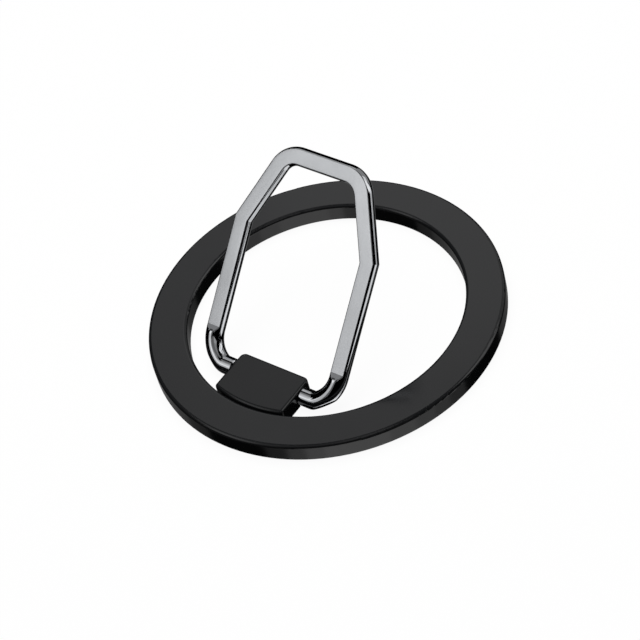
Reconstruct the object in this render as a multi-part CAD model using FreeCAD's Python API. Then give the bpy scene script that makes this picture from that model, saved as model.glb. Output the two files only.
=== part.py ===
import FreeCAD, Part
import math
import os

# Ring holder for the back of a phone: a flat magnetic ring, a hinge block at
# its inner edge and a finger loop that folds flat into the ring's hole.
# Sizes are in millimetres. +X runs along the hinge, +Y from the hinge across
# the ring and +Z away from the phone. The origin is the ring's centre on the
# face that lies against the phone. The loop is drawn opened by LOOP_ANGLE.

# Ring housing: a channel turned from one piece, open underneath
RING_OUTER_D = 58.0
RING_WIDTH = 6.35
RING_INNER_D = RING_OUTER_D - 2 * RING_WIDTH
OUTER_WALL = 1.2
INNER_WALL = 0.9
ROOF_THICKNESS = 1.0
RING_TOP_FILLET = 0.55
RING_FOOT_CHAMFER = 0.2

# What lies in the channel, from the phone upwards
PAD_THICKNESS = 0.5
PAD_PROUD = 0.1
PAD_EDGE_CHAMFER = 0.15
ADHESIVE_THICKNESS = 0.1
ADHESIVE_INSET = 0.25
MAGNET_THICKNESS = 1.3
SHUNT_THICKNESS = 0.4
CHANNEL_GAP = 0.1
MAGNET_COUNT = 16
MAGNET_SPACING = 0.15
HINGE_SECTOR = 32.0

# Hinge block
HINGE_SETBACK = 6.55
BLOCK_WIDTH = 13.2
BLOCK_NOSE = 2.5
BLOCK_RING_GAP = 0.3
BLOCK_NOSE_CORNER_R = 1.0
BLOCK_HEEL_CORNER_R = 0.6
BLOCK_TOP_FILLET = 0.5
BLOCK_FOOT_CHAMFER = 0.15

# Neck and tongue that anchor the block in the ring's channel
NECK_WIDTH = 9.0
FIT_GAP = 0.05
TONGUE_END_GAP = 0.2
TONGUE_CORNER_R = 0.8
BOSS_D = 1.9
ANCHOR_SCREW_SPACING = 5.2

# Cap that closes the block from below
CAP_THICKNESS = 1.0
CAP_END_WALL = 0.7
CAP_NOSE_WALL = 0.6
CAP_HEEL_WALL = 0.75
CAP_CORNER_R = 0.5
CAP_SCREW_SPACING = 8.6
CAP_SCREW_SETBACK = 3.1
CAP_HEAD_RECESS = 0.05

# Screws, all alike
SCREW_HEAD_D = 2.5
SCREW_HEAD_HEIGHT = 0.4
SCREW_SHANK_D = 1.2
SCREW_SHANK_LENGTH = 1.6
SCREW_TIP_CHAMFER = 0.15
SCREW_HOLE_SPARE = 0.15
SCREW_GAP = 0.02
DRIVE_WIDTH = 0.3
DRIVE_SPAN = 1.4
DRIVE_DEPTH = 0.22

# Bar of the loop where it turns in the block, and what lies round it
JOURNAL_D = 1.9
JOURNAL_GAP = 0.1
RUNNING_GAP = 0.03
SHOULDER_GAP = 0.1
SHOULDER_CHAMFER = 0.15
BUSH_WALL = 0.27
BUSH_LENGTH = 2.3
BUSH_END_GAP = 0.1
CLIP_COUNT = 4
CLIP_WIDTH = 1.55
CLIP_PITCH = 1.7
CLIP_THICKNESS = 0.25
CLIP_POCKET_GAP = 0.07
CLIP_WRAP = 300.0
CLIP_TAIL = 3.0

# Finger loop: a round rod bent to a closed loop. The bar's length, the rise and
# the radii of the lower bends, the knees and the top are on its centre line.
# Folded flat, its tip keeps LOOP_TIP_GAP to the ring.
LOOP_ANGLE = 46.2
ROD_D = 3.0
LEG_SPACING = 24.24
BAR_LENGTH = 18.16
BAR_BEND_R = 1.6
BEND_RISE = 1.75
BEND_R = 5.3
LOOP_TIP_GAP = 1.95
LOOP_HEIGHT = RING_INNER_D - HINGE_SETBACK - LOOP_TIP_GAP - ROD_D / 2
KNEE_DROP = 12.1
KNEE_HEIGHT = LOOP_HEIGHT - KNEE_DROP
KNEE_LEAN = 22.6
LOOP_CORNER_R = 3.8

# What the press leaves of the rod, measured from its centre line: a flat front
# from PRESS_START up, with a ramp below it, and a flat outside the lower bends
PRESS_FRONT = 0.95
PRESS_EDGE_R = 0.3
PRESS_START = 5.55
RAMP_LENGTH = 1.0
PRESS_BEND = 1.1
PRESS_BEND_TURN = 38.0

# Heights of the stack
wall_foot_z = PAD_PROUD
adhesive_z = PAD_THICKNESS
magnet_z = adhesive_z + ADHESIVE_THICKNESS
shunt_z = magnet_z + MAGNET_THICKNESS
roof_z = shunt_z + SHUNT_THICKNESS
ring_top_z = roof_z + ROOF_THICKNESS

# Radii of the ring and its channel
ring_outer_r = RING_OUTER_D / 2
ring_inner_r = RING_INNER_D / 2
channel_outer_r = ring_outer_r - OUTER_WALL
channel_inner_r = ring_inner_r + INNER_WALL
channel_mid_r = (channel_outer_r + channel_inner_r) / 2

# Hinge axis, halfway up the ring
axis_y = HINGE_SETBACK - ring_inner_r
axis_z = (wall_foot_z + ring_top_z) / 2
journal_r = JOURNAL_D / 2
rod_r = ROD_D / 2
ramp_slope = (rod_r - PRESS_FRONT) / RAMP_LENGTH
bush_inner_r = journal_r + RUNNING_GAP
bush_outer_r = bush_inner_r + BUSH_WALL
clip_inner_r = journal_r + RUNNING_GAP
clip_outer_r = clip_inner_r + CLIP_THICKNESS

# Faces of the hinge block
block_half = BLOCK_WIDTH / 2
block_nose_y = axis_y + BLOCK_NOSE
block_heel_r = ring_inner_r - BLOCK_RING_GAP
cap_half = block_half - CAP_END_WALL
cap_nose_y = block_nose_y - CAP_NOSE_WALL
cap_heel_r = block_heel_r - CAP_HEEL_WALL
cap_top_z = wall_foot_z + CAP_THICKNESS
tongue_z = magnet_z + SCREW_HEAD_HEIGHT
clip_zone_half = (CLIP_PITCH * (CLIP_COUNT - 1) + CLIP_WIDTH) / 2 + FIT_GAP
shank_hole_r = SCREW_SHANK_D / 2 + SCREW_GAP

UP = FreeCAD.Vector(0, 0, 1)
ALONG = FreeCAD.Vector(1, 0, 0)
CENTRE = FreeCAD.Vector(0, 0, 0)

# Lengths that differ by less than this count as equal
TOUCH = 1e-5


def flat_xy(u, v):
    """Point of a plan-view sketch, on z = 0."""
    return FreeCAD.Vector(u, v, 0)


def flat_xz(u, v):
    """Point of a section sketch, on y = 0."""
    return FreeCAD.Vector(u, 0, v)


def flat_yz(u, v):
    """Point of a side sketch, on x = 0."""
    return FreeCAD.Vector(0, u, v)


def sketch(corners, place=flat_xy, closed=True):
    """Wire of straight runs joined by tangent arcs.

    corners is a list of (u, v) or (u, v, radius); a corner with no radius
    stays sharp. place puts each sketch point in space.
    """
    points = [(c[0], c[1]) for c in corners]
    radii = [c[2] if len(c) > 2 else 0.0 for c in corners]
    count = len(points)
    entries = []
    exits = []
    arcs = []
    for i in range(count):
        u, v = points[i]
        end = not closed and i in (0, count - 1)
        if end or radii[i] == 0.0:
            entries.append((u, v))
            exits.append((u, v))
            arcs.append(None)
            continue
        back = direction(points[i], points[i - 1])
        ahead = direction(points[i], points[(i + 1) % count])
        cosine = back[0] * ahead[0] + back[1] * ahead[1]
        half = math.acos(max(-1.0, min(1.0, cosine))) / 2
        cut = radii[i] / math.tan(half)
        reach = radii[i] / math.sin(half)
        inward = direction((0, 0), (back[0] + ahead[0], back[1] + ahead[1]))
        entries.append((u + back[0] * cut, v + back[1] * cut))
        exits.append((u + ahead[0] * cut, v + ahead[1] * cut))
        dip = reach - radii[i]
        arcs.append((u + inward[0] * dip, v + inward[1] * dip))
    edges = []
    for i in range(count):
        if arcs[i] is not None:
            arc = Part.Arc(place(*entries[i]), place(*arcs[i]), place(*exits[i]))
            edges.append(arc.toShape())
        if i == count - 1 and not closed:
            break
        start = place(*exits[i])
        stop = place(*entries[(i + 1) % count])
        if start.distanceToPoint(stop) > TOUCH:
            edges.append(Part.LineSegment(start, stop).toShape())
    return Part.Wire(edges)


def direction(start, stop):
    """Unit vector from one sketch point to another."""
    du = stop[0] - start[0]
    dv = stop[1] - start[1]
    length = math.hypot(du, dv)
    return du / length, dv / length


def disc(radius, low_z, high_z, x=0.0, y=0.0):
    """Upright cylinder between two heights."""
    return Part.makeCylinder(radius, high_z - low_z, FreeCAD.Vector(x, y, low_z), UP)


def box(x0, x1, y0, y1, z0, z1):
    """Box between two corners."""
    return Part.makeBox(x1 - x0, y1 - y0, z1 - z0, FreeCAD.Vector(x0, y0, z0))


def annulus(inner_r, outer_r, low_z, high_z):
    """Flat ring round the origin."""
    return disc(outer_r, low_z, high_z).cut(disc(inner_r, low_z, high_z))


def sector(inner_r, outer_r, low_z, high_z, start, sweep):
    """Piece of a flat ring, from an angle in degrees and over a sweep."""
    section = [(inner_r, low_z), (outer_r, low_z), (outer_r, high_z), (inner_r, high_z)]
    solid = Part.Face(sketch(section, flat_xz)).revolve(CENTRE, UP, sweep)
    solid.rotate(CENTRE, UP, start)
    return solid


def hinge_cylinder(radius, x0, x1):
    """Cylinder on the hinge axis."""
    return Part.makeCylinder(radius, x1 - x0, FreeCAD.Vector(x0, axis_y, axis_z), ALONG)


def saddle(radius, x0, x1, floor_z):
    """Space for the bar: a round hole on the hinge axis, open down to floor_z."""
    slot = box(x0, x1, axis_y - radius, axis_y + radius, floor_z, axis_z)
    return hinge_cylinder(radius, x0, x1).fuse(slot)


def anchor_points():
    """Places of the two screws that hold the tongue, over the channel's middle."""
    x = ANCHOR_SCREW_SPACING / 2
    y = -math.sqrt(channel_mid_r ** 2 - x ** 2)
    return [(-x, y), (x, y)]


def cap_points():
    """Places of the two screws that hold the cap."""
    x = CAP_SCREW_SPACING / 2
    return [(-x, axis_y - CAP_SCREW_SETBACK), (x, axis_y - CAP_SCREW_SETBACK)]


def bush_zones():
    """Stretches of the bar on which the two bushes sit, as pairs of x."""
    return [(-cap_half, -clip_zone_half), (clip_zone_half, cap_half)]


def make_ring_housing():
    """Channel ring with a notch for the hinge's neck and two screw bosses."""
    section = [
        (ring_inner_r, wall_foot_z + RING_FOOT_CHAMFER),
        (ring_inner_r + RING_FOOT_CHAMFER, wall_foot_z),
        (channel_inner_r, wall_foot_z),
        (channel_inner_r, roof_z),
        (channel_outer_r, roof_z),
        (channel_outer_r, wall_foot_z),
        (ring_outer_r - RING_FOOT_CHAMFER, wall_foot_z),
        (ring_outer_r, wall_foot_z + RING_FOOT_CHAMFER),
        (ring_outer_r, ring_top_z, RING_TOP_FILLET),
        (ring_inner_r, ring_top_z, RING_TOP_FILLET),
    ]
    housing = Part.Face(sketch(section, flat_xz)).revolve(CENTRE, UP, 360)
    notch_half = NECK_WIDTH / 2 + FIT_GAP
    notch = box(-notch_half, notch_half, -channel_mid_r, axis_y, 0, roof_z)
    housing = housing.cut(notch.common(disc(channel_mid_r, 0, roof_z)))
    boss_foot_z = tongue_z + FIT_GAP
    tip_z = tongue_z + SCREW_SHANK_LENGTH
    for x, y in anchor_points():
        housing = housing.fuse(disc(BOSS_D / 2, boss_foot_z, roof_z, x, y))
        hole = disc(shank_hole_r, boss_foot_z, tip_z + SCREW_HOLE_SPARE, x, y)
        housing = housing.cut(hole)
    return housing.removeSplitter()


def make_shunt_ring():
    """Steel strip under the roof that closes the magnets' field upwards."""
    start = HINGE_SECTOR / 2 - 90
    inner_r = channel_inner_r + CHANNEL_GAP
    outer_r = channel_outer_r - CHANNEL_GAP
    return sector(inner_r, outer_r, shunt_z, roof_z, start, 360 - HINGE_SECTOR)


def make_magnet(index):
    """One of the arc magnets, counted from the hinge round the ring."""
    pitch = (360 - HINGE_SECTOR) / MAGNET_COUNT
    gap_angle = math.degrees(MAGNET_SPACING / channel_mid_r)
    start = HINGE_SECTOR / 2 - 90 + pitch * index + gap_angle / 2
    inner_r = channel_inner_r + CHANNEL_GAP
    outer_r = channel_outer_r - CHANNEL_GAP
    return sector(inner_r, outer_r, magnet_z, shunt_z, start, pitch - gap_angle)


def make_adhesive_ring():
    """Thin film that bonds the pad to the magnets."""
    inner_r = channel_inner_r + ADHESIVE_INSET
    outer_r = channel_outer_r - ADHESIVE_INSET
    return annulus(inner_r, outer_r, adhesive_z, magnet_z)


def make_grip_pad():
    """Soft ring that stands proud of the housing and lies against the phone."""
    inner_r = channel_inner_r + CHANNEL_GAP
    outer_r = channel_outer_r - CHANNEL_GAP
    section = [
        (inner_r, PAD_EDGE_CHAMFER),
        (inner_r + PAD_EDGE_CHAMFER, 0),
        (outer_r - PAD_EDGE_CHAMFER, 0),
        (outer_r, PAD_EDGE_CHAMFER),
        (outer_r, PAD_THICKNESS),
        (inner_r, PAD_THICKNESS),
    ]
    return Part.Face(sketch(section, flat_xz)).revolve(CENTRE, UP, 360)


def block_body():
    """Outside of the hinge block: flat nose and sides, heel curved to the ring."""
    reach_y = -block_heel_r
    plan = [
        (-block_half, block_nose_y, BLOCK_NOSE_CORNER_R),
        (block_half, block_nose_y, BLOCK_NOSE_CORNER_R),
        (block_half, reach_y),
        (-block_half, reach_y),
    ]
    height = FreeCAD.Vector(0, 0, ring_top_z - wall_foot_z)
    body = Part.Face(sketch(plan)).extrude(height)
    body.translate(FreeCAD.Vector(0, 0, wall_foot_z))
    body = body.common(disc(block_heel_r, wall_foot_z, ring_top_z))
    heel_corners = [e for e in body.Edges if upright(e) and near_heel(e)]
    body = body.makeFillet(BLOCK_HEEL_CORNER_R, heel_corners)
    rim = [e for e in body.Edges if level(e, ring_top_z)]
    body = body.makeFillet(BLOCK_TOP_FILLET, rim)
    foot = [e for e in body.Edges if level(e, wall_foot_z)]
    return body.makeChamfer(BLOCK_FOOT_CHAMFER, foot)


def upright(edge):
    """Whether an edge runs straight up."""
    span = edge.BoundBox
    return span.XLength < TOUCH and span.YLength < TOUCH


def near_heel(edge):
    """Whether an edge lies on the ring side of the hinge axis."""
    return edge.BoundBox.YMax < axis_y


def level(edge, z):
    """Whether an edge lies wholly at one height."""
    span = edge.BoundBox
    return abs(span.ZMin - z) < TOUCH and abs(span.ZMax - z) < TOUCH


def cap_space(gap):
    """Plan of the cap's pocket, or of the cap itself when drawn in by a gap."""
    half = cap_half - gap
    plan = [
        (-half, cap_nose_y - gap, CAP_CORNER_R),
        (half, cap_nose_y - gap, CAP_CORNER_R),
        (half, -cap_heel_r),
        (-half, -cap_heel_r),
    ]
    slab = Part.Face(sketch(plan)).extrude(FreeCAD.Vector(0, 0, CAP_THICKNESS))
    slab.translate(FreeCAD.Vector(0, 0, wall_foot_z))
    return slab.common(disc(cap_heel_r - gap, wall_foot_z, cap_top_z))


def clip_tail_space(gap):
    """Slot over the cap that holds the clips' tails."""
    tail_y = axis_y - CLIP_TAIL - gap
    top_z = cap_top_z + CLIP_THICKNESS
    return box(-clip_zone_half, clip_zone_half, tail_y, axis_y, cap_top_z, top_z)


def make_hinge_block():
    """Block that carries the loop, with the neck and tongue that anchor it."""
    block = block_body()
    neck_half = NECK_WIDTH / 2
    neck = box(-neck_half, neck_half, -channel_inner_r, axis_y, wall_foot_z, roof_z)
    neck = neck.common(annulus(cap_heel_r, channel_inner_r, wall_foot_z, roof_z))
    tongue_r = channel_outer_r - TONGUE_END_GAP
    tongue = box(-neck_half, neck_half, -tongue_r, axis_y, tongue_z, roof_z)
    tongue = tongue.common(annulus(cap_heel_r, tongue_r, tongue_z, roof_z))
    tips = [e for e in tongue.Edges if upright(e) and e.BoundBox.YMax < -channel_mid_r]
    tongue = tongue.makeFillet(TONGUE_CORNER_R, tips)
    block = block.fuse(neck).fuse(tongue)
    for x, y in anchor_points():
        block = block.cut(disc(BOSS_D / 2 + FIT_GAP, tongue_z, roof_z, x, y))
    block = block.cut(cap_space(0))
    block = block.cut(saddle(journal_r + JOURNAL_GAP, -block_half, block_half, 0))
    for x0, x1 in bush_zones():
        block = block.cut(saddle(bush_outer_r + FIT_GAP, x0, x1, cap_top_z))
    pocket_r = clip_outer_r + CLIP_POCKET_GAP
    block = block.cut(saddle(pocket_r, -clip_zone_half, clip_zone_half, cap_top_z))
    block = block.cut(clip_tail_space(FIT_GAP))
    tip_z = wall_foot_z + CAP_HEAD_RECESS + SCREW_HEAD_HEIGHT + SCREW_SHANK_LENGTH
    for x, y in cap_points():
        block = block.cut(disc(shank_hole_r, cap_top_z, tip_z + SCREW_HOLE_SPARE, x, y))
    return block.removeSplitter()


def make_hinge_cap():
    """Plate that closes the block and carries the bar's underside."""
    cap = cap_space(FIT_GAP)
    for x0, x1 in bush_zones():
        cap = cap.cut(hinge_cylinder(bush_outer_r + FIT_GAP, x0, x1))
    pocket_r = clip_outer_r + CLIP_POCKET_GAP
    cap = cap.cut(hinge_cylinder(pocket_r, -clip_zone_half, clip_zone_half))
    seat_z = wall_foot_z + CAP_HEAD_RECESS + SCREW_HEAD_HEIGHT
    for x, y in cap_points():
        cap = cap.cut(disc(SCREW_HEAD_D / 2 + FIT_GAP, wall_foot_z, seat_z, x, y))
        cap = cap.cut(disc(shank_hole_r, seat_z, cap_top_z, x, y))
    return cap


def make_screw(x, y, head_z):
    """Pan head screw that points up, with a cross recess in its head."""
    seat_z = head_z + SCREW_HEAD_HEIGHT
    tip_z = seat_z + SCREW_SHANK_LENGTH
    shank_r = SCREW_SHANK_D / 2
    profile = [
        (0, head_z),
        (SCREW_HEAD_D / 2, head_z),
        (SCREW_HEAD_D / 2, seat_z),
        (shank_r, seat_z),
        (shank_r, tip_z - SCREW_TIP_CHAMFER),
        (shank_r - SCREW_TIP_CHAMFER, tip_z),
        (0, tip_z),
    ]
    screw = Part.Face(sketch(profile, flat_xz)).revolve(CENTRE, UP, 360)
    span = DRIVE_SPAN / 2
    width = DRIVE_WIDTH / 2
    recess_z = head_z + DRIVE_DEPTH
    screw = screw.cut(box(-span, span, -width, width, head_z, recess_z))
    screw = screw.cut(box(-width, width, -span, span, head_z, recess_z))
    screw.translate(FreeCAD.Vector(x, y, 0))
    return screw


def make_hinge_screws():
    """Two screws through the tongue's seat and two through the cap."""
    screws = [make_screw(x, y, magnet_z) for x, y in anchor_points()]
    cap_head_z = wall_foot_z + CAP_HEAD_RECESS
    screws += [make_screw(x, y, cap_head_z) for x, y in cap_points()]
    return Part.makeCompound(screws)


def make_bush_half(side, upper):
    """Half of a split bush round the bar, beside the block's end wall."""
    outer_x = cap_half - BUSH_END_GAP
    inner_x = outer_x - BUSH_LENGTH
    x0, x1 = sorted((side * inner_x, side * outer_x))
    bush = hinge_cylinder(bush_outer_r, x0, x1).cut(hinge_cylinder(bush_inner_r, x0, x1))
    low_z, high_z = (axis_z, ring_top_z) if upper else (0, axis_z)
    return bush.common(box(x0, x1, axis_y - rod_r, axis_y + rod_r, low_z, high_z))


def make_friction_clip(index):
    """Spring strip that grips the bar, its tail held between block and cap."""
    middle = CLIP_PITCH * (index - (CLIP_COUNT - 1) / 2)
    x0 = middle - CLIP_WIDTH / 2
    x1 = middle + CLIP_WIDTH / 2
    near_y = axis_y - clip_inner_r
    far_y = axis_y - clip_outer_r
    axis_point = FreeCAD.Vector(0, axis_y, axis_z)
    strip = Part.Face(sketch([(x0, near_y), (x1, near_y), (x1, far_y), (x0, far_y)]))
    strip.translate(FreeCAD.Vector(0, 0, axis_z))
    wrap = strip.revolve(axis_point, ALONG.negative(), CLIP_WRAP)
    drop = axis_z - cap_top_z - CLIP_THICKNESS / 2
    mid_r = (clip_inner_r + clip_outer_r) / 2
    wrap.rotate(axis_point, ALONG, math.degrees(math.asin(drop / mid_r)))
    tail_end_y = axis_y - CLIP_TAIL
    tail_root_y = axis_y - math.sqrt(mid_r ** 2 - drop ** 2)
    tail = box(x0, x1, tail_end_y, tail_root_y, cap_top_z, cap_top_z + CLIP_THICKNESS)
    tail = tail.cut(hinge_cylinder(clip_inner_r, x0, x1))
    return wrap.fuse(tail).removeSplitter()


def loop_corners():
    """Centre line of the loop from the bar's right end round to its left end."""
    leg_x = LEG_SPACING / 2
    top_x = leg_x - (LOOP_HEIGHT - KNEE_HEIGHT) * math.tan(math.radians(KNEE_LEAN))
    right = [
        (BAR_LENGTH / 2, 0, BAR_BEND_R),
        (leg_x, BEND_RISE, BEND_R),
        (leg_x, KNEE_HEIGHT),
        (top_x, LOOP_HEIGHT, LOOP_CORNER_R),
    ]
    left = [(-c[0],) + c[1:] for c in reversed(right)]
    return right + left


def press_front_space():
    """Space that the press keeps free in front of the loop, with a ramp below."""
    reach = 2 * ROD_D
    top_v = LOOP_HEIGHT + reach
    front = [
        (PRESS_START, PRESS_FRONT),
        (top_v, PRESS_FRONT),
        (top_v, PRESS_FRONT + reach),
        (PRESS_START - reach / ramp_slope, PRESS_FRONT + reach),
    ]
    side = Part.Face(sketch(front, flat_yz))
    side.translate(FreeCAD.Vector(-LEG_SPACING, 0, 0))
    return side.extrude(FreeCAD.Vector(2 * LEG_SPACING, 0, 0))


def press_bend_spaces():
    """Spaces that the press keeps free outside the two lower bends."""
    leg_x = LEG_SPACING / 2
    slant = math.atan2(BEND_RISE, leg_x - BAR_LENGTH / 2)
    arc_v = BEND_RISE + BEND_R * math.tan((math.pi / 2 - slant) / 2)
    depth = BEND_R + PRESS_BEND
    reach = 2 * ROD_D
    space = box(-reach, reach, -depth - reach, -depth, -reach, reach)
    space.rotate(CENTRE, UP, PRESS_BEND_TURN)
    space.translate(FreeCAD.Vector(leg_x - BEND_R, arc_v, 0))
    return [space, space.mirror(CENTRE, ALONG)]


def on_press_rim(edge):
    """Whether an edge bounds the pressed front, and isn't the ramps' crease."""
    points = edge.discretize(3)
    depths = [PRESS_FRONT + max(0, PRESS_START - p.y) * ramp_slope for p in points]
    in_front = all(abs(p.z - depth) < TOUCH for p, depth in zip(points, depths))
    return in_front and any(abs(p.y - PRESS_START) > TOUCH for p in points)


def make_finger_loop():
    """Bent and pressed rod with a thin bar in the block, opened to its angle."""
    shoulder_x = block_half + SHOULDER_GAP
    centre = [(shoulder_x, 0)] + loop_corners() + [(-shoulder_x, 0)]
    rim = Part.Wire(Part.Circle(FreeCAD.Vector(shoulder_x, 0, 0), ALONG, rod_r).toShape())
    rod = sketch(centre, closed=False).makePipeShell([rim], True, False, 1)
    ends = [e for e in rod.Edges if e.BoundBox.XLength < TOUCH and e.BoundBox.YMax < 2 * rod_r]
    rod = rod.makeChamfer(SHOULDER_CHAMFER, ends)
    rod = rod.cut([press_front_space()] + press_bend_spaces()).removeSplitter()
    rod = rod.makeFillet(PRESS_EDGE_R, [e for e in rod.Edges if on_press_rim(e)])
    reach = shoulder_x + rod_r
    bar = Part.makeCylinder(journal_r, 2 * reach, FreeCAD.Vector(-reach, 0, 0), ALONG)
    loop = rod.fuse(bar).removeSplitter()
    loop.rotate(CENTRE, ALONG, LOOP_ANGLE)
    loop.translate(FreeCAD.Vector(0, axis_y, axis_z))
    return loop


def build():
    """All nodes of the ring holder, by name."""
    nodes = {
        "ring_housing": make_ring_housing(),
        "shunt_ring": make_shunt_ring(),
        "adhesive_ring": make_adhesive_ring(),
        "grip_pad": make_grip_pad(),
        "hinge_block": make_hinge_block(),
        "hinge_cap": make_hinge_cap(),
        "hinge_screws": make_hinge_screws(),
        "finger_loop": make_finger_loop(),
    }
    for index in range(MAGNET_COUNT):
        nodes["magnet_%02d" % (index + 1)] = make_magnet(index)
    for side, word in ((-1, "left"), (1, "right")):
        nodes["bush_%s_upper" % word] = make_bush_half(side, True)
        nodes["bush_%s_lower" % word] = make_bush_half(side, False)
    for index in range(CLIP_COUNT):
        nodes["friction_clip_%d" % (index + 1)] = make_friction_clip(index)
    return nodes


os.makedirs("parts", exist_ok=True)
for name, shape in build().items():
    shape.exportStep("parts/%s.step" % name)
    print("%-20s %8.2f mm3, %d solid(s)" % (name, shape.Volume, len(shape.Solids)))
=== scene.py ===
"""Dresses and lights the phone ring holder: a flat black magnetic ring with a hinged finger loop."""

import logging
import math
from dataclasses import dataclass, field
from enum import Enum
from typing import Sequence

import bpy
from mathutils import Matrix, Vector


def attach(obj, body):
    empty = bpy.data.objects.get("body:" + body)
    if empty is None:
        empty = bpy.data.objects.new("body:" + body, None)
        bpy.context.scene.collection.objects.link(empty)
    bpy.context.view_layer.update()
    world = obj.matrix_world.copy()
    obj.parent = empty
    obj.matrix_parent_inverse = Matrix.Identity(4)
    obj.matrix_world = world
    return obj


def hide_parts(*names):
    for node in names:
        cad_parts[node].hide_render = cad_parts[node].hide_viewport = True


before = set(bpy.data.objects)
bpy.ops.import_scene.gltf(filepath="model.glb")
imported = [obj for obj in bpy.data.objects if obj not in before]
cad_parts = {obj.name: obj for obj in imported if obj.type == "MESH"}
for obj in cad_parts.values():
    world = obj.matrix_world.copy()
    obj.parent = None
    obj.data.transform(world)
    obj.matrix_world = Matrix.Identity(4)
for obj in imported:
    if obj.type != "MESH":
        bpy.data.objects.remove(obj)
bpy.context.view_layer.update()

LOG = logging.getLogger("ring_holder")
MM = 0.001
Colour = tuple[float, float, float]
Point = tuple[float, float, float]
Span = tuple[float, float]
WHITE: Colour = (1.0, 1.0, 1.0)
FULL: Span = (0.0, 1.0)
# Most of a noise lies in these ranges, which are spread to its full strength.
NOISE_BODY: Span = (0.3, 0.7)
NOISE_HEART: Span = (0.35, 0.65)
# The mix node has a pair of inputs for each kind of data.
MIX_NUMBERS = (2, 3)
MIX_COLOURS = (6, 7)
MIX_COLOUR_RESULT = 2


class Body(Enum):
    """The bodies that new pieces ride on."""

    LOOP = "loop"


class Slot(Enum):
    """A slot of the record, by name. No piece in this script is given a slot."""

    LOOP_METAL = "loop_metal"


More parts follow.
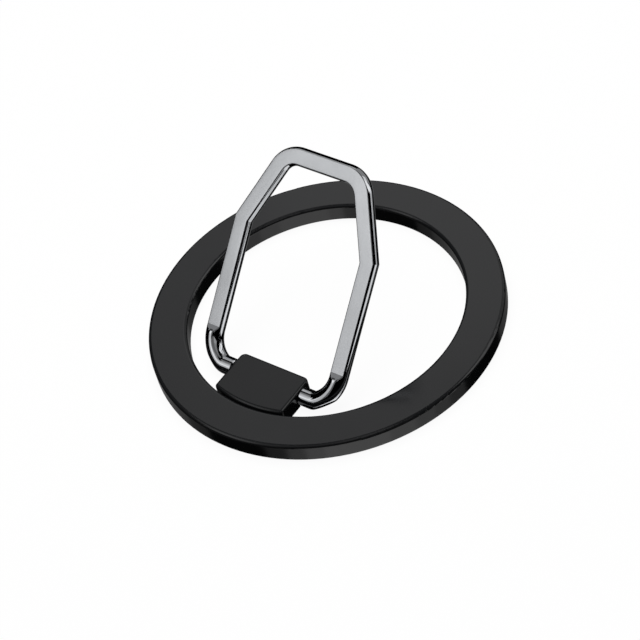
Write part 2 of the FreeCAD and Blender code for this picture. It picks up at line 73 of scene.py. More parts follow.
class Graph:
    """A node tree that is written from the surface backwards, in short calls."""

    def __init__(self, tree: bpy.types.NodeTree) -> None:
        """Clears the tree.

        Args:
            tree: the node tree of a material or of the world.
        """
        self.tree = tree
        tree.nodes.clear()

    def add(self, kind: str, **values: object) -> bpy.types.Node:
        """Adds one node.

        Args:
            kind: Blender's name for the node type.
            values: settings of the node.

        Returns:
            The new node.
        """
        node = self.tree.nodes.new(kind)
        for name, value in values.items():
            setattr(node, name, value)
        return node

    def feed(self, node: bpy.types.Node, name: str | int, value: object) -> None:
        """Gives an input a value, or a link if the value is another node's output.

        Args:
            node: the node that has the input.
            name: the input's name or number.
            value: a number, a colour, or an output socket.
        """
        socket = node.inputs[name]
        if isinstance(value, bpy.types.NodeSocket):
            self.tree.links.new(value, socket)
        elif isinstance(value, tuple) and socket.type == "RGBA":
            socket.default_value = (*value, 1.0)
        else:
            socket.default_value = value

    def place(self, stretch: Point = (1.0, 1.0, 1.0)) -> bpy.types.NodeSocket:
        """Gives the object's own coordinates, in metres.

        Args:
            stretch: the factor on each axis. A small factor draws a texture out along that axis.

        Returns:
            The vector output.
        """
        source = self.add("ShaderNodeTexCoord")
        mapping = self.add("ShaderNodeMapping")
        self.feed(mapping, "Vector", source.outputs["Object"])
        self.feed(mapping, "Scale", stretch)
        return mapping.outputs["Vector"]

    def noise(
        self, where: bpy.types.NodeSocket, size: float, detail: float = 3.0, rough: float = 0.5
    ) -> bpy.types.NodeSocket:
        """Adds a noise whose blobs are about one size across.

        Args:
            where: the coordinates.
            size: the width of a blob, in metres.
            detail: how many finer layers are added.
            rough: how strong the finer layers are.

        Returns:
            The noise, from 0 to 1.
        """
        node = self.add("ShaderNodeTexNoise")
        self.feed(node, "Vector", where)
        self.feed(node, "Scale", 1.0 / size)
        self.feed(node, "Detail", detail)
        self.feed(node, "Roughness", rough)
        return node.outputs["Fac"]

    def spread(self, value: bpy.types.NodeSocket, source: Span, to: Span) -> bpy.types.NodeSocket:
        """Maps one range of numbers to another, and stops at its ends.

        Args:
            value: the number.
            source: the range it comes in.
            to: the range it is wanted in.

        Returns:
            The mapped number.
        """
        node = self.add("ShaderNodeMapRange", clamp=True)
        for name, number in zip(("Value", "From Min", "From Max", "To Min", "To Max"), (value, *source, *to)):
            self.feed(node, name, number)
        return node.outputs["Result"]

    def blend(self, factor: bpy.types.NodeSocket, low: Colour, high: Colour) -> bpy.types.NodeSocket:
        """Mixes two colours.

        Args:
            factor: 0 for the first colour, 1 for the second.
            low: the first colour.
            high: the second colour.

        Returns:
            The mixed colour.
        """
        node = self.add("ShaderNodeMix", data_type="RGBA")
        self.feed(node, 0, factor)
        self.feed(node, MIX_COLOURS[0], low)
        self.feed(node, MIX_COLOURS[1], high)
        return node.outputs[MIX_COLOUR_RESULT]

    def between(self, factor: bpy.types.NodeSocket, low: object, high: object) -> bpy.types.NodeSocket:
        """Mixes two numbers.

        Args:
            factor: 0 for the first number, 1 for the second.
            low: the first number or output.
            high: the second number or output.

        Returns:
            The mixed number.
        """
        node = self.add("ShaderNodeMix", data_type="FLOAT")
        self.feed(node, 0, factor)
        self.feed(node, MIX_NUMBERS[0], low)
        self.feed(node, MIX_NUMBERS[1], high)
        return node.outputs[0]

    def layered(self, broad: bpy.types.NodeSocket, fine: bpy.types.NodeSocket, share: float) -> bpy.types.NodeSocket:
        """Adds a broad and a fine noise up to one number from 0 to 1.

        Args:
            broad: the broad noise.
            fine: the fine noise.
            share: how much of the number comes from the broad one.

        Returns:
            The sum.
        """
        slow = self.spread(broad, NOISE_BODY, (0.0, share))
        return self.join(slow, self.spread(fine, NOISE_BODY, (0.0, 1.0 - share)))

    def join(self, first: object, second: object, operation: str = "ADD") -> bpy.types.NodeSocket:
        """Joins two numbers.

        Args:
            first: the first number or output.
            second: the second number or output.
            operation: what is done with them.

        Returns:
            The result.
        """
        node = self.add("ShaderNodeMath", operation=operation)
        self.feed(node, 0, first)
        self.feed(node, 1, second)
        return node.outputs["Value"]

    def bump(
        self, height: bpy.types.NodeSocket, depth: float, under: bpy.types.NodeSocket | None = None
    ) -> bpy.types.NodeSocket:
        """Turns a height into a tilt of the surface.

        Args:
            height: the height, from 0 to 1.
            depth: how deep that is, in metres.
            under: a tilt that this one lies on.

        Returns:
            The normal.
        """
        node = self.add("ShaderNodeBump")
        self.feed(node, "Strength", 1.0)
        self.feed(node, "Distance", depth)
        self.feed(node, "Height", height)
        if under is not None:
            self.feed(node, "Normal", under)
        return node.outputs["Normal"]


@dataclass(frozen=True)
class Finish:
    """What every finish has: a name, a colour and how metallic and rough it is."""

    name: str
    colour: Colour
    tone: float = 0.08
    metallic: float = 0.0
    roughness: Span = (0.4, 0.5)
    specular: float = 0.5

    def make(self) -> bpy.types.Material:
        """Builds the material.

        Returns:
            The material, with its surface finished.
        """
        material = bpy.data.materials.new(self.name)
        material.use_nodes = True
        graph = Graph(material.node_tree)
        shader = graph.add("ShaderNodeBsdfPrincipled")
        out = graph.add("ShaderNodeOutputMaterial")
        graph.feed(out, "Surface", shader.outputs["BSDF"])
        graph.feed(shader, "Metallic", self.metallic)
        graph.feed(shader, "Specular IOR Level", self.specular)
        self.detail(graph, shader)
        return material

    def shades(self) -> tuple[Colour, Colour]:
        """Gives the colours that the surface varies between.

        Returns:
            The darker and the lighter colour.
        """
        low = tuple(c * (1.0 - self.tone) for c in self.colour)
        high = tuple(c * (1.0 + self.tone) for c in self.colour)
        return low, high

    def detail(self, graph: Graph, shader: bpy.types.Node) -> None:
        """Adds what only this finish has.

        Args:
            graph: the material's nodes.
            shader: the surface shader.
        """
        raise NotImplementedError


@dataclass(frozen=True)
class SatinCoat(Finish):
    """Black coat: a fine even grain, with a slow waviness and a slightly uneven sheen."""

    grain: float = 0.00012
    grain_depth: float = 0.0000012
    cloud: float = 0.005
    cloud_share: float = 0.7
    wave_depth: float = 0.0000024

    def detail(self, graph: Graph, shader: bpy.types.Node) -> None:
        """Adds the grain, the cloudy tone and the uneven sheen.

        Args:
            graph: the material's nodes.
            shader: the surface shader.
        """
        where = graph.place()
        cloud = graph.noise(where, self.cloud, detail=4.0)
        grain = graph.noise(where, self.grain, detail=2.0, rough=0.6)
        tone = graph.spread(cloud, NOISE_BODY, FULL)
        sheen = graph.layered(cloud, grain, self.cloud_share)
        graph.feed(shader, "Base Color", graph.blend(tone, *self.shades()))
        graph.feed(shader, "Roughness", graph.spread(sheen, FULL, self.roughness))
        wave = graph.bump(cloud, self.wave_depth)
        graph.feed(shader, "Normal", graph.bump(grain, self.grain_depth, wave))


@dataclass(frozen=True)
class Polish(Finish):
    """Polished plate: smooth, with faint buffing lines and a thin haze."""

    lines: float = 0.00006
    drawn: Point = (1.0, 1.0, 1.0)
    haze: float = 0.003
    haze_share: float = 0.6
    depth: float = 0.0000002

    def detail(self, graph: Graph, shader: bpy.types.Node) -> None:
        """Adds the haze and the buffing lines.

        Args:
            graph: the material's nodes.
            shader: the surface shader.
        """
        haze = graph.noise(graph.place(), self.haze, detail=5.0, rough=0.6)
        lines = graph.noise(graph.place(self.drawn), self.lines, detail=3.0, rough=0.6)
        tone = graph.spread(haze, NOISE_BODY, FULL)
        sheen = graph.layered(haze, lines, self.haze_share)
        graph.feed(shader, "Base Color", graph.blend(tone, *self.shades()))
        graph.feed(shader, "Roughness", graph.spread(sheen, FULL, self.roughness))
        graph.feed(shader, "Normal", graph.bump(lines, self.depth))


@dataclass(frozen=True)
class PressedPolish(Polish):
    """Polished plate on a rod whose pressed faces all lie in one plane and are linished a little duller.

    The spans are in metres. The duller sheen fades in along face_starts and press_starts, and out along face_ends.
    """

    face_normal: Point = (0.0, 0.0, 1.0)
    face_starts: Span = (0.0, 0.0)
    face_ends: Span = (0.0, 0.0)
    up: Point = (0.0, 1.0, 0.0)
    press_starts: Span = (0.0, 0.0)
    face_roughness: float = 0.24

    def along(self, graph: Graph, direction: Point) -> bpy.types.NodeSocket:
        """Measures how far a point lies along a direction.

        Args:
            graph: the material's nodes.
            direction: the direction, one long.

        Returns:
            The distance in metres.
        """
        node = graph.add("ShaderNodeVectorMath", operation="DOT_PRODUCT")
        graph.feed(node, 0, graph.place())
        graph.feed(node, 1, direction)
        return node.outputs["Value"]

    def detail(self, graph: Graph, shader: bpy.types.Node) -> None:
        """Adds the polish, and the duller sheen of the pressed faces.

        Args:
            graph: the material's nodes.
            shader: the surface shader.
        """
        super().detail(graph, shader)
        sheen = shader.inputs["Roughness"].links[0].from_socket
        level = self.along(graph, self.face_normal)
        reached = graph.spread(level, self.face_starts, FULL)
        passed = graph.spread(level, self.face_ends, (1.0, 0.0))
        in_plane = graph.join(reached, passed, "MULTIPLY")
        above_start = graph.spread(self.along(graph, self.up), self.press_starts, FULL)
        pressed = graph.join(in_plane, above_start, "MULTIPLY")
        graph.feed(shader, "Roughness", graph.between(pressed, sheen, self.face_roughness))


@dataclass(frozen=True)
class RolledStrip(Finish):
    """Rolled steel strip: long fine lines and a little mottling."""

    lines: float = 0.00005
    drawn: Point = (0.05, 1.0, 1.0)
    mottle: float = 0.0016
    depth: float = 0.0000012

    def detail(self, graph: Graph, shader: bpy.types.Node) -> None:
        """Adds the rolling lines and the mottling.

        Args:
            graph: the material's nodes.
            shader: the surface shader.
        """
        lines = graph.noise(graph.place(self.drawn), self.lines, detail=4.0, rough=0.65)
        mottle = graph.noise(graph.place(), self.mottle, detail=5.0, rough=0.55)
        half = (0.0, 0.5)
        tone = graph.join(graph.spread(lines, NOISE_BODY, half), graph.spread(mottle, NOISE_HEART, half))
        graph.feed(shader, "Base Color", graph.blend(tone, *self.shades()))
        graph.feed(shader, "Roughness", graph.spread(tone, FULL, self.roughness))
        graph.feed(shader, "Normal", graph.bump(lines, self.depth))


@dataclass(frozen=True)
class Moulded(Finish):
    """Moulded plastic, rubber or film: a soft grain and a cloudy tone."""

    grain: float = 0.00009
    depth: float = 0.000002
    cloud: float = 0.002

    def detail(self, graph: Graph, shader: bpy.types.Node) -> None:
        """Adds the grain and the cloudy tone.

        Args:
            graph: the material's nodes.
            shader: the surface shader.
        """
        where = graph.place()
        cloud = graph.noise(where, self.cloud, detail=3.0)
        grain = graph.noise(where, self.grain, detail=4.0, rough=0.6)
        tone = graph.spread(cloud, NOISE_HEART, FULL)
        graph.feed(shader, "Base Color", graph.blend(tone, *self.shades()))
        graph.feed(shader, "Roughness", graph.spread(grain, NOISE_BODY, self.roughness))
        graph.feed(shader, "Normal", graph.bump(grain, self.depth))


BLACK_COAT = SatinCoat("black_satin_coat", (0.009, 0.0093, 0.0100), tone=0.06, roughness=(0.10, 0.15))
# A little darker and less glossy than the ring's coat, so the block renders darker than the ring.
HINGE_COAT = SatinCoat(
    "black_hinge_coat", (0.0075, 0.0078, 0.0084), tone=0.06, roughness=(0.10, 0.15), specular=0.42
)
DARK_NICKEL = PressedPolish(
    "polished_dark_nickel",
    (0.60, 0.613, 0.633),
    tone=0.1,
    metallic=1.0,
    roughness=(0.05, 0.08),
    haze=0.011,
    depth=0.00000003,
    face_normal=(0.0, -0.7218, 0.6921),
    face_starts=(0.01368, 0.0137),
    face_ends=(0.01376, 0.01378),
    up=(0.0, 0.6921, 0.7218),
    press_starts=(-0.0045, -0.0043),
)
BARREL_NICKEL = Polish(
    "barrel_nickel", (0.58, 0.57, 0.54), tone=0.05, metallic=1.0, roughness=(0.2, 0.32), lines=0.0002, depth=0.0000015
)
STRIP_STEEL = RolledStrip("rolled_strip_steel", (0.42, 0.42, 0.43), tone=0.12, metallic=1.0, roughness=(0.28, 0.42))
SPRING_STEEL = RolledStrip("spring_strip_steel", (0.5, 0.5, 0.51), tone=0.1, metallic=1.0, roughness=(0.22, 0.34))
BLACK_STEEL = RolledStrip(
    "blackened_steel", (0.12, 0.12, 0.125), tone=0.15, metallic=0.9, roughness=(0.32, 0.46), drawn=(1.0, 1.0, 1.0)
)
BUSH_PLASTIC = Moulded("natural_bush_plastic", (0.72, 0.71, 0.66), tone=0.02)
PAD_RUBBER = Moulded(
    "fine_grained_rubber", (0.02, 0.02, 0.021), tone=0.15, roughness=(0.7, 0.85), specular=0.3, depth=0.000006
)
BOND_FILM = Moulded("bonding_film", (0.55, 0.5, 0.38), tone=0.06, roughness=(0.35, 0.5))


def dress(names: Sequence[str], material: bpy.types.Material) -> None:
    """Puts one material on pieces that come from the frame.

    Args:
        names: the pieces' names.
        material: the finished material.
    """
    for name in names:
        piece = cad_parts[name]
        for slot in piece.material_slots:
            slot.material = material
        LOG.info("dressed %s with %s", name, material.name)


def new_piece(
    name: str, points: list[Point], faces: list[tuple[int, ...]], finish: bpy.types.Material, crease: float
) -> bpy.types.Object:
    """Makes a smooth mesh piece from points in millimetres, in the part's frame.

    Args:
        name: the piece's name.
        points: the mesh's points.
        faces: the faces, as numbers of points.
        finish: the piece's material.
        crease: the angle in degrees from which an edge is sharp.

    Returns:
        The piece, which doesn't ride on a body yet.
    """
    mesh = bpy.data.meshes.new(name)
    mesh.from_pydata([tuple(c * MM for c in point) for point in points], [], faces)
    mesh.materials.append(finish)
    mesh.polygons.foreach_set("use_smooth", [True] * len(mesh.polygons))
    mesh.set_sharp_from_angle(angle=math.radians(crease))
    mesh.update()
    piece = bpy.data.objects.new(name, mesh)
    bpy.context.scene.collection.objects.link(piece)
    return piece


@dataclass
class MagnetRing:
    """The flat black ring with what lies in its channel."""

    magnets: int = 16
    coat: Finish = BLACK_COAT

    def dress(self) -> None:
        """Dresses the housing, the steel strip, the magnets, the film and the pad."""
        dress(["ring_housing"], self.coat.make())
        dress(["shunt_ring"], STRIP_STEEL.make())
        dress([f"magnet_{n:02d}" for n in range(1, self.magnets + 1)], BARREL_NICKEL.make())
        dress(["adhesive_ring"], BOND_FILM.make())
        dress(["grip_pad"], PAD_RUBBER.make())


@dataclass
class FrictionHinge:
    """The block at the ring's inner edge with what holds the loop in it."""

    clips: int = 4
    sides: tuple[str, str] = ("left", "right")
    halves: tuple[str, str] = ("upper", "lower")

    def dress(self) -> None:
        """Dresses the block, its cap, the screws, the clips and the bushes."""
        dress(["hinge_block", "hinge_cap"], HINGE_COAT.make())
        dress(["hinge_screws"], BLACK_STEEL.make())
        dress([f"friction_clip_{n}" for n in range(1, self.clips + 1)], SPRING_STEEL.make())
        dress([f"bush_{side}_{half}" for side in self.sides for half in self.halves], BUSH_PLASTIC.make())


@dataclass
class Section:
    """One cross section of the loop's rod: where it is, how it is turned and how far it is pressed."""

    x: float
    v: float
    turn: float
    radius: float
    front: float
    stretch: float = 1.0


@dataclass
class FingerLoop:
    """The bent rod that a finger goes through, with its pressed front. Sizes are in millimetres and degrees."""

    metal: Finish = DARK_NICKEL
    opening: float = 46.2
    axis_y: float = -16.1
    axis_z: float = 1.7
    rod_radius: float = 1.5
    journal_radius: float = 0.95
    shoulder: float = 6.7
    shoulder_chamfer: float = 0.15
    bar_corner: tuple[float, float, float] = (9.08, 0.0, 2.4)
    bend_corner: tuple[float, float, float] = (12.12, 1.75, 5.3)
    knee: Span = (12.12, 23.2)
    knee_lean: float = 22.6
    top_height: float = 35.3
    top_bend: float = 3.8
    press_front: float = 0.95
    press_edge: float = 0.08
    press_crown: float = 0.012
    crown_power: int = 4
    press_start: float = 5.5
    ramp_slope: Span = (0.42, 0.12)
    ramp_edge: float = 0.045
    ramp_length: float = 1.5
    ramp_step: float = 0.06
    ramp_margin: int = 2
    press_bend: float = 1.1
    press_bend_turn: float = 38.0
    press_bend_edge: float = 0.12
    crease: float = 20.0
    points_round: int = 160
    run_step: float = 0.5
    bend_step: float = 3.0

    def front_at(self, v: float) -> float:
        """Gives the distance of the press from the rod's middle at a height. Past the radius it isn't felt."""
        below = min(self.ramp_length, max(0.0, self.press_start - v))
        return self.press_front + below * (self.ramp_slope[0] + below * self.ramp_slope[1])

    def outline(self, radius: float, front: float) -> list[Span]:
        """Draws a cross section: a circle whose front is pressed flat, with a soft edge round the flat.

        Args:
            radius: the rod's radius.
            front: how far the press is from the middle.

        Returns:
            Pairs of a sideways and a frontward distance, from the back round to the back again.
        """
        share = min(1.0, max(0.0, (self.rod_radius - front) / (self.rod_radius - self.press_front)))
        edge = self.ramp_edge + (self.press_edge - self.ramp_edge) * share
        half = math.sqrt(self.rod_radius ** 2 - self.press_front ** 2)
        ring = []
        for step in range(self.points_round):
            angle = math.tau * step / self.points_round - math.pi / 2
            across, reach = radius * math.cos(angle), radius * math.sin(angle)
            face = front - self.press_crown * share * (across / half) ** self.crown_power
            over = reach - face
            if over >= edge:
                reach = face
            elif over > -edge:
                reach -= (over + edge) ** 2 / (4.0 * edge)
            ring.append((across, reach))
        return ring

    def bend(self, corner: tuple[float, float, float], before: float, after: float) -> list[Section]:
        """Lays sections round one bend of the centre line.

        Args:
            corner: the corner's place and its radius.
            before: the run's direction before the corner, in degrees.
            after: its direction after it, turning to the left.

        Returns:
            The sections from the bend's start to its end.
        """
        x, v, radius = corner
        turn = after - before
        back = radius * math.tan(math.radians(turn) / 2)
        start = math.radians(before)
        centre_x = x - back * math.cos(start) - radius * math.sin(start)
        centre_v = v - back * math.sin(start) + radius * math.cos(start)
        steps = max(2, math.ceil(turn / self.bend_step))
        sections = []
        for step in range(steps + 1):
            angle = start + math.radians(turn) * step / steps
            place_x = centre_x + radius * math.sin(angle)
            place_v = centre_v - radius * math.cos(angle)
            sections.append(Section(place_x, place_v, angle, self.rod_radius, self.front_at(place_v)))
        return sections

    def run(self, start: Section, stop: Section) -> list[Section]:
        """Lays sections along a straight run, closer together where the ramp is.

        Args:
            start: the section before the run.
            stop: the section after it.

        Returns:
            The sections between the two.
        """
        length = math.hypot(stop.x - start.x, stop.v - start.v)
        steps = max(1, math.ceil(length / self.run_step))
        shares = [step / steps for step in range(1, steps)]
        rise = stop.v - start.v
        if rise > 0.0:
            steps = round(self.ramp_length / self.ramp_step)
            marks = range(-self.ramp_margin, steps + self.ramp_margin + 1)
            ramp = [self.press_start - self.ramp_step * mark for mark in marks]
            shares += [(v - start.v) / rise for v in ramp if start.v < v < stop.v]
        sections = []
        for share in sorted(set(shares)):
            v = start.v + rise * share
            x = start.x + (stop.x - start.x) * share
            sections.append(Section(x, v, stop.turn, self.rod_radius, self.front_at(v)))
        return sections

    def right_half(self) -> list[Section]:
        """Lays all sections of the right half, from the middle of the bar to the middle of the top.

        Returns:
            The sections in order.
        """
        lean = 90.0 + self.knee_lean
        slant = math.degrees(math.atan2(self.bend_corner[1], self.bend_corner[0] - self.bar_corner[0]))
        top_x = self.knee[0] - (self.top_height - self.knee[1]) * math.tan(math.radians(self.knee_lean))
        thin, thick = self.journal_radius, self.rod_radius
        chamfer, away = self.shoulder_chamfer, 2.0 * self.rod_radius
        sections = [Section(0.0, 0.0, 0.0, thin, away), Section(self.shoulder, 0.0, 0.0, thin, away)]
        sections.append(Section(self.shoulder, 0.0, 0.0, thick - chamfer, away))
        sections.append(Section(self.shoulder + chamfer, 0.0, 0.0, thick, away))
        middle = math.radians(90.0 + self.knee_lean / 2)
        wider = 1.0 / math.cos(math.radians(self.knee_lean / 2))
        knee = Section(*self.knee, middle, thick, self.press_front, wider)
        bends = [
            self.bend(self.bar_corner, 0.0, slant),
            self.bend(self.bend_corner, slant, 90.0),
            [knee],
            self.bend((top_x, self.top_height, self.top_bend), lean, 180.0),
        ]
        directions = [0.0, math.radians(slant), math.pi / 2, math.radians(lean)]
        for sections_of_bend, direction in zip(bends, directions):
            goal = Section(sections_of_bend[0].x, sections_of_bend[0].v, direction, thick, thick)
            sections += self.run(sections[-1], goal)
            sections += sections_of_bend
        end = Section(0.0, self.top_height, math.pi, thick, self.press_front)
        return sections + self.run(sections[-1], end) + [end]

    def press(self, x: float, v: float) -> Span:
        """Pushes a point of the loop's plane back behind the flats outside the lower bends.

        Args:
            x: the point's place across the loop.
            v: its height in the loop's plane.

        Returns:
            Its place after the press.
        """
        slant = math.atan2(self.bend_corner[1], self.bend_corner[0] - self.bar_corner[0])
        radius = self.bend_corner[2]
        centre_x = self.bend_corner[0] - radius
        centre_v = self.bend_corner[1] + radius * math.tan((math.pi / 2 - slant) / 2)
        turn = math.radians(self.press_bend_turn)
        out_x, out_v = math.sin(turn), -math.cos(turn)
        side = math.copysign(1.0, x)
        over = (abs(x) - centre_x) * out_x + (v - centre_v) * out_v - (radius + self.press_bend)
        soft = self.press_bend_edge
        if over <= -soft:
            return x, v
        push = over if over > soft else (over + soft) ** 2 / (4.0 * soft)
        return x - side * push * out_x, v - push * out_v

    def place(self, x: float, v: float, front: float) -> Point:
        """Turns a point of the flat loop to where the open loop has it.

        Args:
            x: the point's place across the loop.
            v: its height in the loop's plane.
            front: its distance in front of that plane.

        Returns:
            The point in the part's frame.
        """
        angle = math.radians(self.opening)
        y = self.axis_y + v * math.cos(angle) - front * math.sin(angle)
        return x, y, self.axis_z + v * math.sin(angle) + front * math.cos(angle)

    def build(self) -> bpy.types.Object:
        """Makes the loop as one closed tube.

        Returns:
            The loop, which stands for the solid of the frame.
        """
        right = self.right_half()
        left = [Section(-s.x, s.v, -s.turn, s.radius, s.front, s.stretch) for s in reversed(right[1:-1])]
        points = []
        for section in right + left:
            for across, front in self.outline(section.radius, section.front):
                outward = across * section.stretch
                x = section.x + outward * math.sin(section.turn)
                v = section.v - outward * math.cos(section.turn)
                points.append(self.place(*self.press(x, v), front))
        count, rings = self.points_round, len(right) + len(left)
        faces = []
        for ring in range(rings):
            after = (ring + 1) % rings
            for point in range(count):
                beside = (point + 1) % count
                near, far = ring * count, after * count
                faces.append((near + point, far + point, far + beside, near + beside))
        piece = new_piece("finger_loop_rod", points, faces, self.metal.make(), self.crease)
        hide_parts("finger_loop")
        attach(piece, Body.LOOP.value)
        LOG.info("built %s with %d faces", piece.name, len(faces))
        return piece


@dataclass
class Softbox:
    """A soft area lamp that looks at a point."""

    name: str
    where: Point
    size: Span
    watts: float
    target: Point = (0.0, 0.0, 0.005)

    def build(self) -> bpy.types.Object:
        """Makes the lamp.

        Returns:
            The lamp. Reflections show the tent's windows instead of it.
        """
        light = bpy.data.lights.new(self.name, "AREA")
        light.shape = "RECTANGLE"
        light.size, light.size_y = self.size
        light.energy = self.watts
        lamp = bpy.data.objects.new(self.name, light)
        aim = Vector(self.where) - Vector(self.target)
        lamp.matrix_world = Matrix.Translation(self.where) @ aim.to_track_quat("Z", "Y").to_matrix().to_4x4()
        lamp.visible_glossy = False
        bpy.context.scene.collection.objects.link(lamp)
        return lamp


@dataclass(frozen=True)
class Window:
    """An opening or a card in the tent, by its directions in degrees. Azimuth 0 is +X and 90 is +Y."""

    name: str
    azimuth: Span
    elevation: Span
    glow: float | None = None

    def holds(self, azimuth: float, elevation: float) -> bool:
        """Tells whether a direction lies in the window."""
        across = (azimuth - self.azimuth[0]) % 360.0 < self.azimuth[1] - self.azimuth[0]
        return across and self.elevation[0] <= elevation < self.elevation[1]


@dataclass
class Tent:
    """A black tent round the object that only reflections see. Its open windows show the white round it.

    Where windows overlap, the first one counts.
    """

    distance: float = 0.8
    step: float = 2.0
    windows: tuple[Window, ...] = (
        # Behind the object: the light lines along edges and rods, and the sheen of the flat tops.
        Window("back_strip", (34.0, 54.0), (2.0, 56.0), 1.2),
        Window("back_strip_edge", (26.0, 34.0), (16.0, 56.0), 1.3),
        Window("back_strip_side", (54.0, 72.0), (24.0, 50.0), 0.9),
        Window("back_foot", (34.0, 54.0), (-12.0, 2.0), 0.55),
        Window("back_core", (122.0, 138.0), (32.0, 48.0), 0.7),
        Window("back_soft", (104.0, 148.0), (30.0, 64.0), 0.53),
        Window("back_edge", (60.0, 104.0), (0.0, 62.0), 0.3),
        # In front, to the left: the pressed faces and their ramps.
        Window("front_band", (226.0, 246.0), (28.0, 38.0), 1.22),
        Window("front_band_low", (226.0, 246.0), (16.0, 28.0), 0.66),
        Window("front_side", (246.0, 256.0), (12.0, 38.0), 0.6),
        Window("front_fade", (256.0, 272.0), (12.0, 38.0), 0.14),
        Window("front_rise", (206.0, 250.0), (38.0, 48.0), 0.85),
        Window("front_high", (206.0, 242.0), (48.0, 58.0), 0.6),
        Window("front_top", (242.0, 260.0), (38.0, 64.0), 0.3),
        Window("front_foot", (222.0, 254.0), (-34.0, -12.0), 0.05),
        # The ground: the ring's walls and the undersides of the rods.
        Window("ground_gap", (352.0, 384.0), (-34.0, -14.0)),
        Window("ground_rise_first", (254.0, 268.0), (-56.0, -36.0), 0.14),
        Window("ground_rise_next", (268.0, 280.0), (-56.0, -36.0), 0.45),
        Window("ground_rise_last", (280.0, 292.0), (-56.0, -36.0), 0.8),
        Window("ground_fall_first", (334.0, 352.0), (-56.0, -36.0), 0.8),
        Window("ground_fall_next", (352.0, 366.0), (-56.0, -36.0), 0.58),
        Window("ground_fall_third", (366.0, 378.0), (-56.0, -36.0), 0.4),
        Window("ground_fall_last", (378.0, 392.0), (-56.0, -36.0), 0.2),
        Window("ground_front", (280.0, 372.0), (-76.0, -24.0)),
        Window("ground_side", (78.0, 108.0), (-90.0, -26.0), 0.1),
        Window("ground_back", (108.0, 172.0), (-56.0, -36.0), 0.16),
        Window("ground_back_fade", (172.0, 194.0), (-56.0, -36.0), 0.14),
        Window("ground_back_end", (194.0, 212.0), (-56.0, -36.0), 0.08),
        # Overhead: the lower bends.
        Window("crown_left", (180.0, 206.0), (48.0, 70.0), 0.28),
        Window("crown_back", (164.0, 180.0), (48.0, 70.0), 0.06),
        Window("crown_front", (260.0, 300.0), (40.0, 82.0), 0.16),
        Window("crown_right", (300.0, 346.0), (40.0, 52.0), 0.4),
        Window("crown_camera", (300.0, 346.0), (52.0, 82.0), 0.28),
        Window("crown_top", (0.0, 360.0), (82.0, 90.0), 0.2),
    )

    def point(self, azimuth: float, elevation: float) -> Point:
        """Gives a place on the tent.

        Args:
            azimuth: its direction round the object, in degrees.
            elevation: its height over the ground, in degrees.

        Returns:
            The place, in metres.
        """
        turn, rise = math.radians(azimuth), math.radians(elevation)
        flat = self.distance * math.cos(rise)
        return flat * math.cos(turn), flat * math.sin(turn), self.distance * math.sin(rise)

    def glow(self, azimuth: float, elevation: float) -> float | None:
        """Gives the glow of the tent in a direction.

        Args:
            azimuth: the direction round the object, in degrees.
            elevation: the direction over the ground, in degrees.

        Returns:
            The glow: 0 where the tent is black, and None where it is open.
        """
        for window in self.windows:
            if window.holds(azimuth, elevation):
                return window.glow
        return 0.0

    def card(self, glow: float) -> bpy.types.Material:
        """Makes the tent's cloth with one glow.

        Args:
            glow: how bright it is, 1 for white.

        Returns:
            The material.
        """
        material = bpy.data.materials.new(f"tent_{round(glow * 100):03d}")
        material.use_nodes = True
        graph = Graph(material.node_tree)
        light = graph.add("ShaderNodeEmission")
        graph.feed(light, "Color", WHITE)
        graph.feed(light, "Strength", glow)
        out = graph.add("ShaderNodeOutputMaterial")
        graph.feed(out, "Surface", light.outputs[0])
        return material

    def build(self) -> bpy.types.Object:
        """Makes the tent.

        Returns:
            The tent, which isn't part of the object.
        """
        columns, rows = round(360.0 / self.step), round(180.0 / self.step)
        heights = [row * self.step - 90.0 for row in range(rows + 1)]
        points = [self.point(column * self.step, height) for height in heights for column in range(columns)]
        faces, glows = [], []
        for row in range(rows):
            for column in range(columns):
                glow = self.glow((column + 0.5) * self.step, heights[row] + 0.5 * self.step)
                if glow is None:
                    continue
                beside = (column + 1) % columns
                low, high = row * columns, (row + 1) * columns
                faces.append((low + column, low + beside, high + beside, high + column))
                glows.append(glow)
        mesh = bpy.data.meshes.new("tent")
        mesh.from_pydata(points, [], faces)
        kinds = sorted(set(glows))
        for glow in kinds:
            mesh.materials.append(self.card(glow))
        mesh.polygons.foreach_set("material_index", [kinds.index(glow) for glow in glows])
        tent = bpy.data.objects.new("tent", mesh)
        bpy.context.scene.collection.objects.link(tent)
        only_reflected(tent)
        LOG.info("tent windows: %s", ", ".join(window.name for window in self.windows))
        return tent


def only_reflected(card: bpy.types.Object) -> None:
    """Makes a studio card that reflections alone see, and that isn't part of the object.

    Args:
        card: the card.
    """
    card.visible_camera = False
    card.visible_diffuse = False
    card.visible_transmission = False
    card.visible_shadow = False


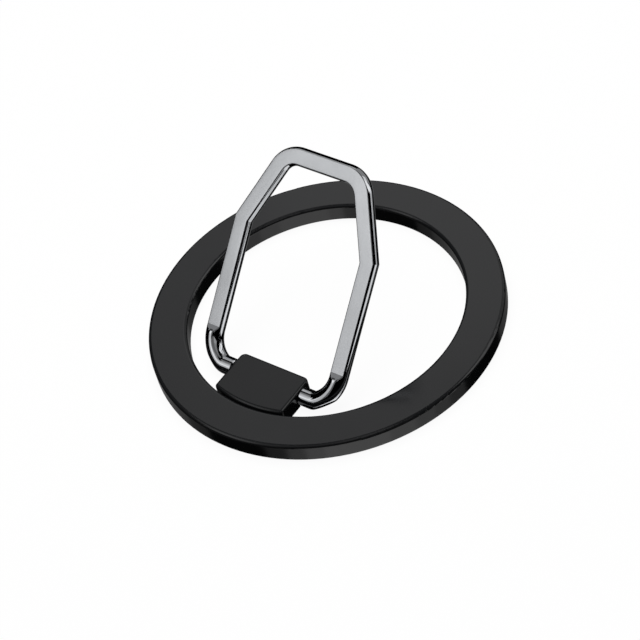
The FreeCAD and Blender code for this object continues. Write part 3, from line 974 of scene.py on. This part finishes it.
@dataclass
class Studio:
    """Floor, surroundings, lamps and camera."""

    floor_size: float = 3.0
    floor_colour: Colour = (0.8, 0.8, 0.8)
    floor_glow: float = 0.94
    floor_drop: float = 0.00002
    ambient: float = 0.12
    camera_at: Point = (0.1970, -0.18713, 0.27791)
    camera_right: Point = (0.8023, 0.5647, -0.1936)
    camera_up: Point = (-0.3105, 0.6717, 0.6726)
    camera_forward: Point = (-0.5098, 0.4795, -0.7143)
    focal: float = 136.3
    sensor: float = 36.0
    clip: Span = (0.01, 10.0)
    tent: Tent = field(default_factory=Tent)
    boxes: list[Softbox] = field(default_factory=lambda: [
        Softbox("top_box", (-0.05, 0.06, 0.55), (0.5, 0.5), 4.2),
    ])

    def seen_white(self, graph: Graph) -> bpy.types.NodeSocket:
        """Tells which rays see white: those from the camera, from glossy surfaces and through clear ones.

        Args:
            graph: the nodes of the floor or of the world.

        Returns:
            1 for these rays, and 0 for the rest.
        """
        path = graph.add("ShaderNodeLightPath")
        seen = graph.join(path.outputs["Is Camera Ray"], path.outputs["Is Glossy Ray"], "MAXIMUM")
        return graph.join(seen, path.outputs["Is Transmission Ray"], "MAXIMUM")

    def build_world(self) -> None:
        """Makes the surroundings: white to the eye, and dim as a light."""
        world = bpy.data.worlds.new("studio")
        world.use_nodes = True
        graph = Graph(world.node_tree)
        dim = graph.add("ShaderNodeBackground")
        graph.feed(dim, "Color", WHITE)
        graph.feed(dim, "Strength", self.ambient)
        white = graph.add("ShaderNodeBackground")
        graph.feed(white, "Color", WHITE)
        graph.feed(white, "Strength", 1.0)
        mix = graph.add("ShaderNodeMixShader")
        graph.feed(mix, 0, self.seen_white(graph))
        graph.feed(mix, 1, dim.outputs[0])
        graph.feed(mix, 2, white.outputs[0])
        out = graph.add("ShaderNodeOutputWorld")
        graph.feed(out, "Surface", mix.outputs[0])
        bpy.context.scene.world = world

    def build_floor(self) -> None:
        """Makes the floor: pale, white to the eye, and with the object's soft shadow."""
        material = bpy.data.materials.new("floor_white")
        material.use_nodes = True
        graph = Graph(material.node_tree)
        paper = graph.add("ShaderNodeBsdfDiffuse")
        graph.feed(paper, "Color", self.floor_colour)
        glow = graph.add("ShaderNodeEmission")
        graph.feed(glow, "Color", WHITE)
        graph.feed(glow, "Strength", 1.0)
        mix = graph.add("ShaderNodeMixShader")
        graph.feed(mix, 0, graph.join(self.seen_white(graph), self.floor_glow, "MULTIPLY"))
        graph.feed(mix, 1, paper.outputs[0])
        graph.feed(mix, 2, glow.outputs[0])
        out = graph.add("ShaderNodeOutputMaterial")
        graph.feed(out, "Surface", mix.outputs[0])
        half = self.floor_size / 2.0
        mesh = bpy.data.meshes.new("floor")
        corners = [(-half, -half, 0.0), (half, -half, 0.0), (half, half, 0.0), (-half, half, 0.0)]
        mesh.from_pydata(corners, [], [(0, 1, 2, 3)])
        mesh.materials.append(material)
        floor = bpy.data.objects.new("floor", mesh)
        floor.location = (0.0, 0.0, -self.floor_drop)
        floor.visible_glossy = False
        floor.visible_diffuse = False
        bpy.context.scene.collection.objects.link(floor)

    def build_camera(self) -> None:
        """Makes the camera at the photograph's place."""
        data = bpy.data.cameras.new("camera")
        data.sensor_width = self.sensor
        data.lens = self.focal
        data.clip_start, data.clip_end = self.clip
        camera = bpy.data.objects.new("camera", data)
        right, up = Vector(self.camera_right).normalized(), Vector(self.camera_up).normalized()
        back = -Vector(self.camera_forward).normalized()
        turn = Matrix((right, up, back)).transposed()
        camera.matrix_world = Matrix.Translation(self.camera_at) @ turn.to_4x4()
        bpy.context.scene.collection.objects.link(camera)
        bpy.context.scene.camera = camera

    def build(self) -> None:
        """Builds the whole studio."""
        bpy.context.scene.view_settings.view_transform = "Standard"
        self.build_world()
        self.build_floor()
        for box in self.boxes:
            box.build()
        self.tent.build()
        self.build_camera()
        LOG.info("studio: %d lamps, %d windows", len(self.boxes), len(self.tent.windows))


def main() -> None:
    """Dresses the pieces, builds the loop and builds the studio."""
    logging.basicConfig(level=logging.INFO, format="%(message)s")
    MagnetRing().dress()
    FrictionHinge().dress()
    FingerLoop().build()
    Studio().build()


if __name__ == "__main__":
    main()
